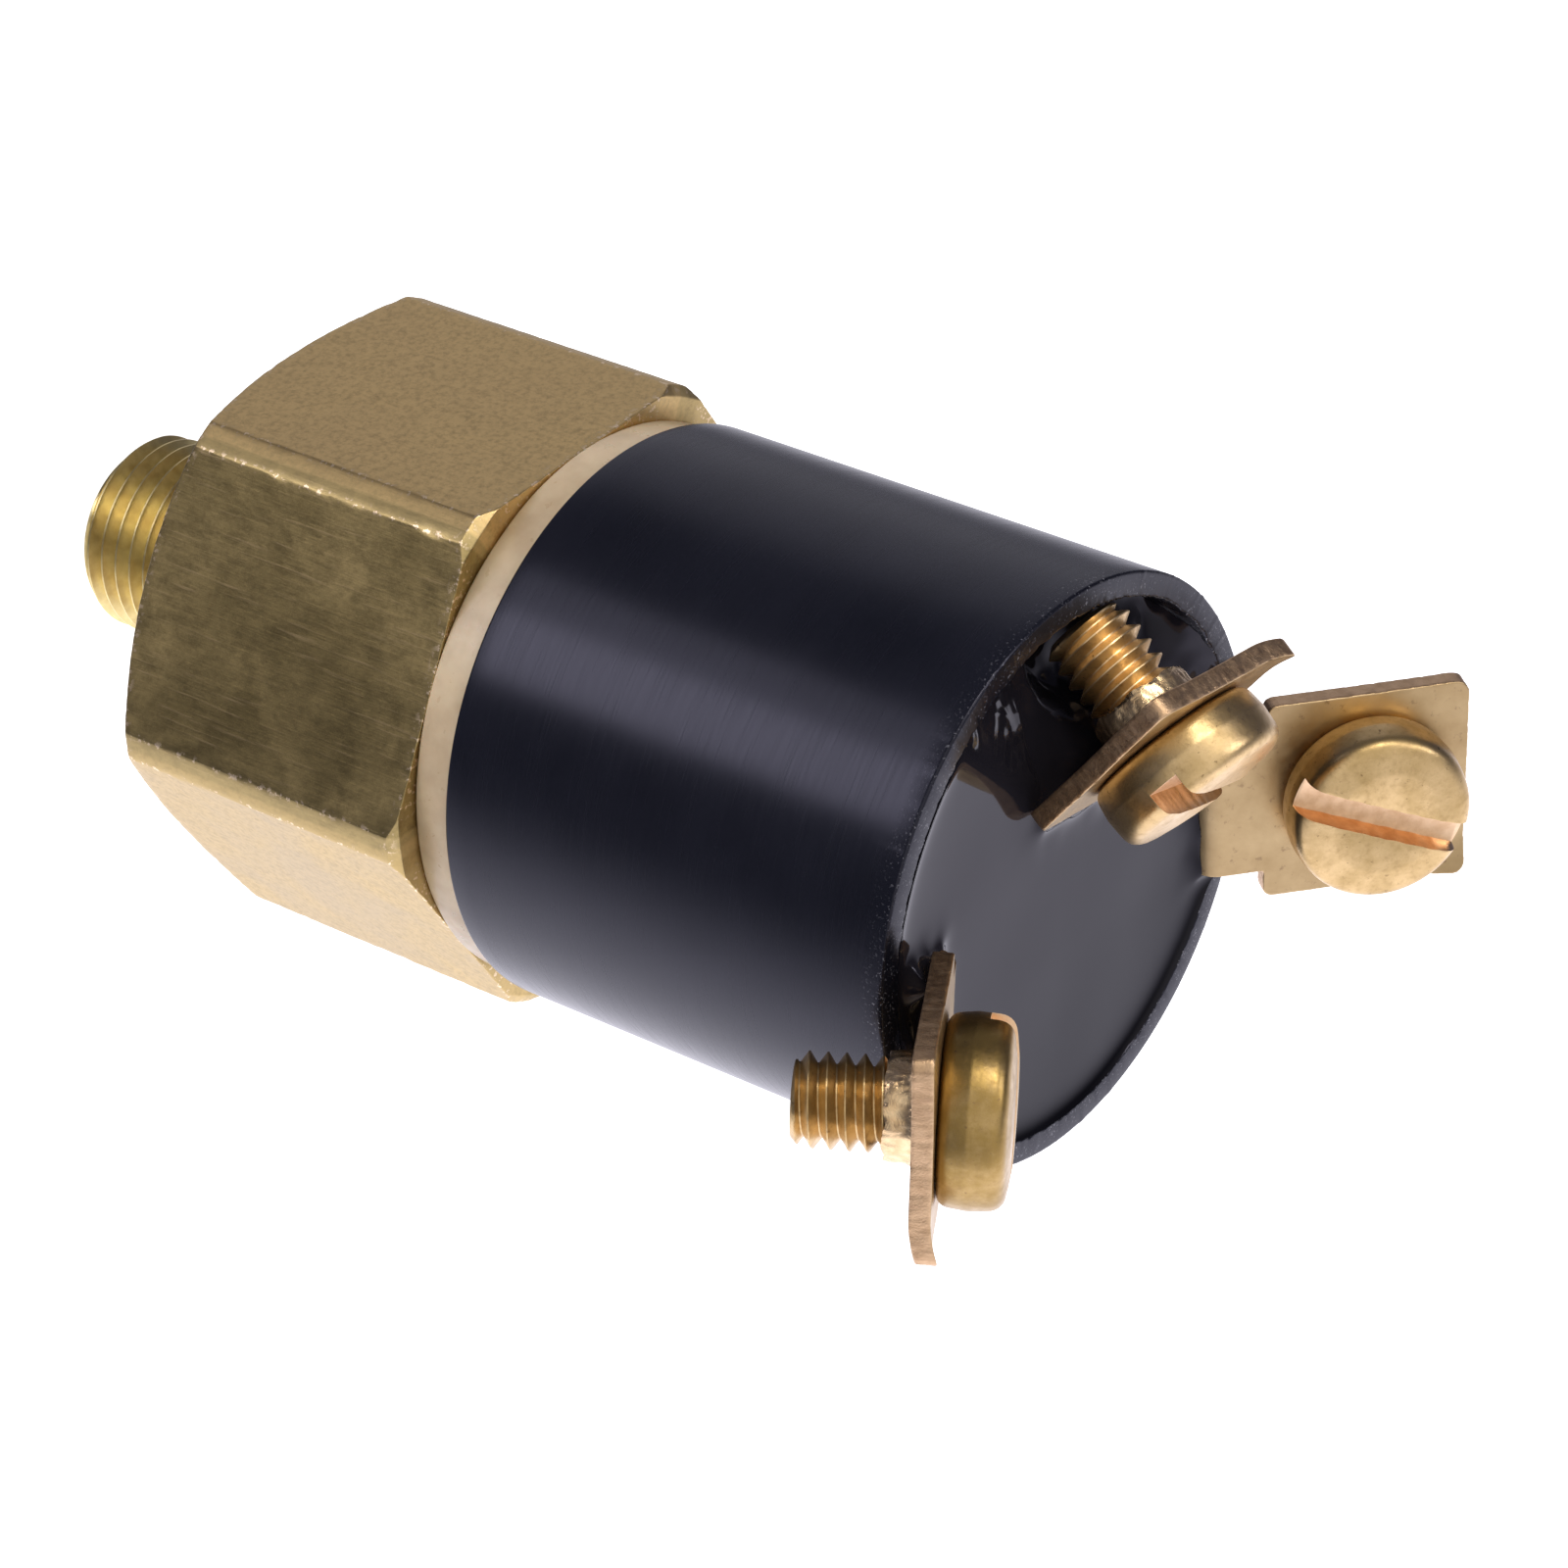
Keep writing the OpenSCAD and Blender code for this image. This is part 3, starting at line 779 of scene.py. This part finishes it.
def tab_section(reach):
    """Section of the plate from the hole out to its edge and back: (radius, height, kind of surface)."""
    half = TAB_T / 2
    rows = [0.02, 0.05, 0.1, 0.16, 0.22] + list(np.linspace(0.29, 0.97, 36))
    top, low = HOLE_R + 0.2, BOSS_R + 0.45
    section = [(HOLE_R, half - 0.15, BOSS), (HOLE_R + 0.05, half - 0.03, BOSS), (top, half, FACE)]
    section += [(top + (reach - top) * k, half, FACE) for k in rows]
    section += [(reach - 0.07, half, FACE), (reach - 0.025, half - 0.025, EDGE), (reach, half - 0.08, EDGE)]
    section += [(reach, half - TAB_T * k, EDGE) for k in (0.2, 0.35, 0.5, 0.65, 0.8)]
    section += [(reach, -half + 0.06, EDGE), (reach - 0.03, -half + 0.01, EDGE), (reach - 0.1, -half, FACE)]
    section += [(low + (reach - low) * k, -half, FACE) for k in reversed(rows)]
    section += [(BOSS_R + 0.16, -half - 0.06, BOSS), (BOSS_R + 0.04, -half - 0.2, BOSS)]
    section += [(BOSS_R - 0.02 * k, -half - 0.2 - 0.24 * k, BOSS) for k in range(1, 5)]
    section += [(BOSS_R - 0.14, BOSS_Z + 0.02, BOSS), (BOSS_R - 0.24, BOSS_Z, BOSS)]
    section += [(HOLE_R + 0.02, BOSS_Z + 0.05, BOSS)]
    return section + [(HOLE_R, BOSS_Z + 0.3 + 0.3 * k, BOSS) for k in range(5)]


def tab_point(t, seed, way, r, w, kind):
    """Where a point of the section lies, (out, across, up): torn, rough at the shear, bent."""
    u, v = r * way[0], r * way[1]
    if kind == BOSS and w < -TAB_T / 2 - 0.05:  # the boss is crumpled, and its lip is torn
        crumple = 0.10 * sample((u, v, w), 0.7, seed) + 0.05 * sample((u, v, w), 0.25, seed + 4)
        if r > HOLE_R + 0.1:
            u, v = (r + crumple) * way[0], (r + crumple) * way[1]
        if w < BOSS_Z + 0.1:
            w += 0.16 * sample((way[0] * 2.4, way[1] * 2.4, seed), 0.8) + 0.05 * sample((u, v, seed), 0.25)
    if kind == EDGE:  # the shear left dents
        dent = abs(0.05 * sample((u, v, seed), 0.13) + 0.05 * sample((u, v, 0.5 * w + seed), 0.5))
        u, v = u - way[0] * dent, v - way[1] * dent
    if kind != BOSS:
        w += 0.02 * sample((u, v, seed), 3.0)
    # one outer corner is bent up, and the other side droops a little
    corner = (u - TAB_LEN / 2) + (t.bent_side * v - TAB_W / 2) + 2.6
    w += 0.075 * max(0.0, corner) ** 2
    w -= 0.10 * smoothstep(1.5, TAB_W / 2 + 1, -t.bent_side * v + 0.5 * u - 2)
    u, w = bend_strip(t, u, w)
    return u, v, w


def tab_piece(t):
    """Screw plate with its drawn boss, sheared edge, one bent corner and bent neck."""
    seed = 10.0 * len(t.name) + t.neck
    ways, sections = [], []
    for x, y in tab_outline(t.neck + 1.6):
        angle = math.atan2(y, x)
        ways.append((math.cos(angle), math.sin(angle)))
        sections.append(tab_section(math.hypot(x, y)))
    verts, kinds, streaks = [], [], []
    for ring in zip(*sections):
        for way, (r, w, kind) in zip(ways, ring):
            u, v, w = tab_point(t, seed, way, r, w, kind)
            verts.append(tuple(c * MM for c in t.point(u, v, w)))
            kinds.append(kind)
            streaks.append(0.5 + 0.5 * sample((r * way[0], r * way[1], 3 * seed + 0.15 * w), 0.19))
    mesh = bpy.data.meshes.new(t.name + "_tab")
    mesh.from_pydata(verts, [], ring_faces(len(sections[0]), len(ways)))
    for polygon in mesh.polygons:
        around = [kinds[i] for i in polygon.vertices]
        polygon.material_index = max(around) if min(around) != FACE else FACE
    bm = bmesh.new()
    bm.from_mesh(mesh)
    bmesh.ops.recalc_face_normals(bm, faces=bm.faces)
    bm.to_mesh(mesh)
    bm.free()
    obj = new_object(t.name + "_tab", mesh)
    shade(obj, 60)
    for material in (SHEET, SHEARED, TORN):
        mesh.materials.append(material)
    float_attribute(obj, "streak", streaks)
    return place(obj, "switch_body", [t.name + "_terminal"])


# ---- screws ----


def apply_modifiers(obj):
    """Bakes an object's modifiers into its mesh."""
    graph = bpy.context.evaluated_depsgraph_get()
    mesh = bpy.data.meshes.new_from_object(obj.evaluated_get(graph))
    obj.modifiers.clear()
    obj.data = mesh


def screw_head(t):
    """Pan head turned round local +Z, with its driver slot cut and its edges eased."""
    profile = rounded(
        [(0.0, 0.0, 0.0), (HEAD_R - 0.1, 0.0, 0.75), (HEAD_R + 0.06, 1.3, 1.0),
         (HEAD_R - 0.04, HEAD_H - 0.22, 1.15), (2.6, HEAD_H, 1.5), (0.0, HEAD_H + 0.04, 0.0)],
        7)
    cols = 128
    verts = []
    for r, z in profile[1:-1]:
        verts += circle(r, z, cols)
    rows = len(profile) - 2
    faces = grid_faces(rows, cols)
    verts += [(0, 0, profile[0][1]), (0, 0, profile[-1][1])]
    low, high = len(verts) - 2, len(verts) - 1
    faces += [(low, (c + 1) % cols, c) for c in range(cols)]
    faces += [(high, (rows - 1) * cols + c, (rows - 1) * cols + (c + 1) % cols) for c in range(cols)]
    head = mesh_object(t.name + "_head_blank", verts, faces)
    cutter = slot_cutter(t)
    cut = head.modifiers.new("slot", "BOOLEAN")
    cut.object, cut.operation, cut.solver = cutter, "DIFFERENCE", "EXACT"
    ease = head.modifiers.new("ease", "BEVEL")
    ease.width, ease.segments, ease.angle_limit = 0.05 * MM, 2, math.radians(40)
    head.data.materials.append(SCREW)
    head.data.materials.append(CUT)
    apply_modifiers(head)
    bpy.data.objects.remove(cutter)
    return head


def slot_cutter(t):
    """Long box with many cuts along it, so that the slot's edges can carry a burr."""
    length, steps = HEAD_R * 2 + 2, 70
    turn_cos, turn_sin = math.cos(t.slot_turn), math.sin(t.slot_turn)
    verts, faces = [], []
    for k in range(steps + 1):
        x = -length / 2 + length * k / steps
        for y, z in ((-1, 0), (1, 0), (1, 1), (-1, 1)):
            jag = 0.035 * sample((x, y * 3, 7.0 + t.neck), 0.5) if 0 < k < steps else 0.0
            side = y * (SLOT_W / 2 + jag)
            up = HEAD_H - SLOT_DEPTH + z * (SLOT_DEPTH + 1.0)
            verts.append((x * turn_cos - side * turn_sin, x * turn_sin + side * turn_cos, up))
    for k in range(steps):
        faces += [(k * 4 + e, k * 4 + (e + 1) % 4, k * 4 + 4 + (e + 1) % 4, k * 4 + 4 + e) for e in range(4)]
    faces += [(3, 2, 1, 0), tuple(steps * 4 + e for e in range(4))]
    cutter = mesh_object(t.name + "_cutter", verts, faces)
    cutter.data.materials.append(SCREW)
    cutter.data.materials.append(CUT)
    for polygon in cutter.data.polygons:
        polygon.material_index = 1
    return cutter


def screw_piece(t):
    """Head and threaded shank, moved onto the terminal's screw axis."""
    cols, full_depth = 96, 0.49

    def crest(z):
        return SCREW_R

    def depth(z):
        return full_depth * smoothstep(0.0, -0.9, z)

    def ends(r, z):
        return min(r, SCREW_R - 0.42 + (z + SCREW_LEN) * 1.1)

    verts, faces, rows = thread_mesh(
        -SCREW_LEN, 0.3, SCREW_PITCH, crest, depth, ends, cols, 0.03, crest_flat=0.08, seed=t.neck)
    base = len(verts)
    verts += circle(0.9, -SCREW_LEN + 0.03, cols)
    verts += [(0, 0, -SCREW_LEN + 0.05), (0, 0, 0.3)]
    last = (rows - 1) * cols
    faces += bridge(0, base, cols)
    faces += [(base + c, base + (c + 1) % cols, base + cols) for c in range(cols)]
    faces += [(last + (c + 1) % cols, last + c, base + cols + 1) for c in range(cols)]
    shank = mesh_object(t.name + "_shank", verts, faces, 35)
    shank.data.materials.append(SCREW)
    head = screw_head(t)
    bm = bmesh.new()
    bm.from_mesh(head.data)
    bm.from_mesh(shank.data)
    lift = TAB_T / 2 + 0.02
    # the terminal's darkening amount for head and shank, one per point
    dull = []
    for v in bm.verts:
        p = v.co / MM
        v.co = t.point(p.x, p.y, p.z + lift) * MM
        dull.append(t.dull_head if p.z > -0.01 else t.shank_darkening)
    mesh = bpy.data.meshes.new(t.name + "_screw_turned")
    bm.to_mesh(mesh)
    bm.free()
    mesh.materials.append(SCREW)
    mesh.materials.append(CUT)
    obj = new_object(t.name + "_screw_turned", mesh)
    shade(obj, 35)
    float_attribute(obj, "tarnish", dull)
    bpy.data.objects.remove(head)
    bpy.data.objects.remove(shank)
    return place(obj, t.name + "_screw_body", [t.name + "_screw"])


# ---- potting ----


# x, y, width, length and height of the drops and the swell that set beside the legs
DRIPS = [(11.55, 0.3, 0.55, 0.85, 1.0), (12.1, 2.9, 0.45, 0.7, 0.55), (-2.7, -5.4, 1.8, 1.2, 1.25)]


def potting_height(x, y):
    """Height of the resin over the rim's plane.

    Nearly level, climbing the wall and the legs; it falls away towards -y into a hollow.
    """
    wall = INNER_R - math.hypot(x, y)
    z = 0.28 * math.exp(-wall / 0.35) + 0.22 * math.exp(-wall / 3.0) - 0.48
    z += 0.03 * sample((x, y, 0), 5.0, 2.0)
    for t in TERMINALS:  # climbs each leg
        dx, dy = x - t.foot.x, y - t.foot.y
        along = dx * t.outward.x + dy * t.outward.y
        side = -dx * t.outward.y + dy * t.outward.x
        away = math.hypot(max(0.0, abs(along) - TAB_T / 2), max(0.0, abs(side) - NECK_W / 2))
        z += 0.42 * math.exp(-away / 0.45) * (0.8 + 0.5 * sample((x, y, 0), 1.4, 6.0))
    # falls away past a slanting line, with a lumpy floor there
    into = -(y + 3.9) - 0.80 * max(0.0, x - 1.5) + 0.3 * sample((x, y, 0), 2.2, 3.0)
    fall = 0.36 * (math.sqrt(into * into + 0.15) + into) / 2
    z -= min(fall, 2.9) * smoothstep(-11.5, -8.0, x)
    z += 0.06 * sample((x, y, 0), 0.9, 4.0) * smoothstep(0.3, 2.0, into)
    # the deep hollow beside the wall
    away = math.hypot(x + 2.6, 0.9 * (y + 9.9)) + 0.3 * sample((x, y, 0), 1.3, 5.0)
    z -= 1.2 * (1 - smoothstep(1.6, 3.2, away))
    for bx, by, wide, long, high in DRIPS:
        z += high * math.exp(-(((x - bx) / wide) ** 2) - (((y - by) / long) ** 2))
    return z


def potting_piece():
    """Resin: its free surface as a fine polar grid, then straight sides down to the cover."""
    cols, rings = 360, 110
    edge = INNER_R - 0.01
    verts = []
    for k in range(1, rings + 1):
        r = edge * (k / rings) ** 0.8
        for c in range(cols):
            x, y = r * math.cos(TAU * c / cols), r * math.sin(TAU * c / cols)
            verts.append((x, y, potting_height(x, y) + RIM_Z))
    verts += circle(edge, COVER_Z, cols)
    faces = grid_faces(rings + 1, cols)
    verts += [(0, 0, RIM_Z + potting_height(0, 0)), (0, 0, COVER_Z)]
    top, bottom = len(verts) - 2, len(verts) - 1
    faces += [(top, c, (c + 1) % cols) for c in range(cols)]
    faces += [(bottom, rings * cols + (c + 1) % cols, rings * cols + c) for c in range(cols)]
    obj = mesh_object("potting_pour", verts, faces, 70)
    points = [v.co / MM for v in obj.data.vertices]
    # painted shade: a value that darkens the resin towards +y and -x
    float_attribute(obj, "film", [smoothstep(-3.0, 11.0, p.y - 0.3 * p.x) for p in points])
    obj.data.materials.append(RESIN)
    return place(obj, "switch_body", ["potting_compound"])


# ---- pieces that keep their CAD shape ----

CAD_LOOKS = {
    "diaphragm_seal": RUBBER, "diaphragm": STEEL, "clamp_ring": STEEL, "piston": STEEL,
    "actuating_pin": ROD, "range_spring": SPRING, "adjusting_screw": THREAD_BRASS,
    "blade_pivot": STEEL, "common_blade": BRONZE, "moving_contact": SILVER,
    "no_contact": SILVER, "nc_contact": SILVER, "cavity_cover": FIBRE,
}

hex_piece()
thread_piece()
flange_piece()
sleeve_piece()
potting_piece()
for terminal in TERMINALS:
    tab_piece(terminal)
    screw_piece(terminal)
for node, look in CAD_LOOKS.items():
    data = frame["nodes"][node].data
    data.materials.clear()
    data.materials.append(look)

# ---- stage: floor, light and camera ----


def view_axes(azimuth, elevation, roll):
    """The camera's right, up and back directions, as the columns of a rotation."""
    side = Vector((math.cos(azimuth), math.sin(azimuth), 0))
    back = Vector((side.y * math.cos(elevation), -side.x * math.cos(elevation), math.sin(elevation)))
    top = back.cross(side)
    right = side * math.cos(roll) + top * math.sin(roll)
    return Matrix((right, back.cross(right), back)).transposed()


# where the photograph was taken from: the sleeve lies across the frame, its potted end to the right
VIEW = view_axes(math.radians(55), math.radians(32.06), math.radians(110.7))


def floor():
    """White paper under the thread's tip. Reflections and shadow rays pass it, so lights may stand below."""
    size = 3000
    mesh = bpy.data.meshes.new("floor")
    z = STUB_Z - 0.02
    corners = ((-1, -1), (1, -1), (1, 1), (-1, 1))
    mesh.from_pydata([(x * size * MM, y * size * MM, z * MM) for x, y in corners], [], [(0, 1, 2, 3)])
    obj = new_object("floor", mesh)
    s = Shader("floor_paper")
    s.set("Base Color", s.mix(s.noise(40.0, 2), (0.90, 0.90, 0.90), (0.93, 0.93, 0.93)))
    s.set("Roughness", 0.9).set("Specular IOR Level", 0.0)
    s.set("Emission Color", (1.0, 1.0, 1.0, 1.0)).set("Emission Strength", 0.9)
    s.material.cycles.emission_sampling = "NONE"
    mesh.materials.append(s.material)
    obj.visible_glossy = False
    obj.visible_shadow = False


LIGHT_DISTANCE = 420
COOL, WARM, CLEAR = (0.93, 0.90, 1.0), (1.0, 0.96, 0.90), (0.95, 0.93, 1.0)
# direction as the camera sees it (right, up, back), size, power and tint
SOFTBOXES = {
    "key": ((-0.81, 0.39, 0.435), (150, 150), 0.30, COOL),
    "key_high": ((-0.674, 0.638, 0.37), (130, 130), 0.09, COOL),
    "front_left": ((0.17, 0.62, 0.72), (70, 90), 0.20, WARM),
    "window_left": ((0.72, 0.38, 0.55), (75, 90), 0.13, CLEAR),
    "window_right": ((0.88, 0.24, 0.47), (75, 90), 0.13, CLEAR),
    "front_right": ((0.37, 0.58, 0.70), (70, 90), 0.20, WARM),
}


def softbox(name, direction, size, power, tint):
    """An area light aimed at the middle of the switch."""
    light = bpy.data.lights.new(name, "AREA")
    light.shape = "RECTANGLE"
    light.size, light.size_y = size[0] * MM, size[1] * MM
    light.energy, light.color = power, tint
    obj = new_object(name, light)
    aim = Vector((0, 0, RIM_Z / 2)) * MM
    way = (VIEW @ Vector(direction)).normalized()
    obj.location = aim + way * LIGHT_DISTANCE * MM
    obj.rotation_mode = "QUATERNION"
    obj.rotation_quaternion = way.to_track_quat("Z", "Y")
    obj.visible_camera = False


def camera():
    """Sees the potted end and one side, with the switch's axis lying across the frame."""
    distance, shift_right, shift_down = 247.3, 12.7, 4.0
    data = bpy.data.cameras.new("camera")
    data.sensor_width, data.lens = 36.0, 127.6
    data.clip_start, data.clip_end = 0.01, 20.0
    obj = new_object("camera", data)
    obj.rotation_mode = "QUATERNION"
    obj.rotation_quaternion = VIEW.to_quaternion()
    rim = Vector((0, 0, RIM_Z))
    obj.location = (rim + VIEW @ Vector((-shift_right, shift_down, distance))) * MM
    bpy.context.scene.camera = obj


def world():
    """Black room with three glows: the white table and backdrop, the camera's side, and the ceiling."""
    w = bpy.data.worlds.new("studio")
    w.use_nodes = True
    tree = w.node_tree
    coords = tree.nodes.new("ShaderNodeTexCoord")
    colour = None
    glows = [
        ((0.10, -0.80, -0.60), 0.00, 0.70, (1.56, 1.53, 1.72)),
        ((0.35, -0.10, 0.93), 0.40, 1.00, (0.95, 0.92, 0.92)),
        ((0.00, 0.85, -0.53), 0.84, 1.00, (0.55, 0.54, 0.60))]
    for direction, start, full, light in glows:
        side = tree.nodes.new("ShaderNodeVectorMath")
        side.operation = "DOT_PRODUCT"
        side.inputs[1].default_value = VIEW @ Vector(direction).normalized()
        ramp = tree.nodes.new("ShaderNodeMapRange")
        ramp.interpolation_type = "SMOOTHSTEP"
        ramp.inputs["From Min"].default_value = start
        ramp.inputs["From Max"].default_value = full
        mix = tree.nodes.new("ShaderNodeMix")
        mix.data_type = "RGBA"
        mix.inputs[MIX_B].default_value = (*light, 1)
        tree.links.new(coords.outputs["Generated"], side.inputs[0])
        tree.links.new(side.outputs["Value"], ramp.inputs["Value"])
        tree.links.new(ramp.outputs[0], mix.inputs["Factor"])
        if colour:
            tree.links.new(colour, mix.inputs[MIX_A])
        else:
            mix.inputs[MIX_A].default_value = (0.07, 0.07, 0.10, 1)
        colour = mix.outputs[MIX_OUT]
    tree.links.new(colour, tree.nodes["Background"].inputs["Color"])
    bpy.context.scene.world = w


floor()
for box, (direction, size, power, tint) in SOFTBOXES.items():
    softbox(box, direction, size, power, tint)
camera()
world()
bpy.context.scene.view_settings.view_transform = "Standard"
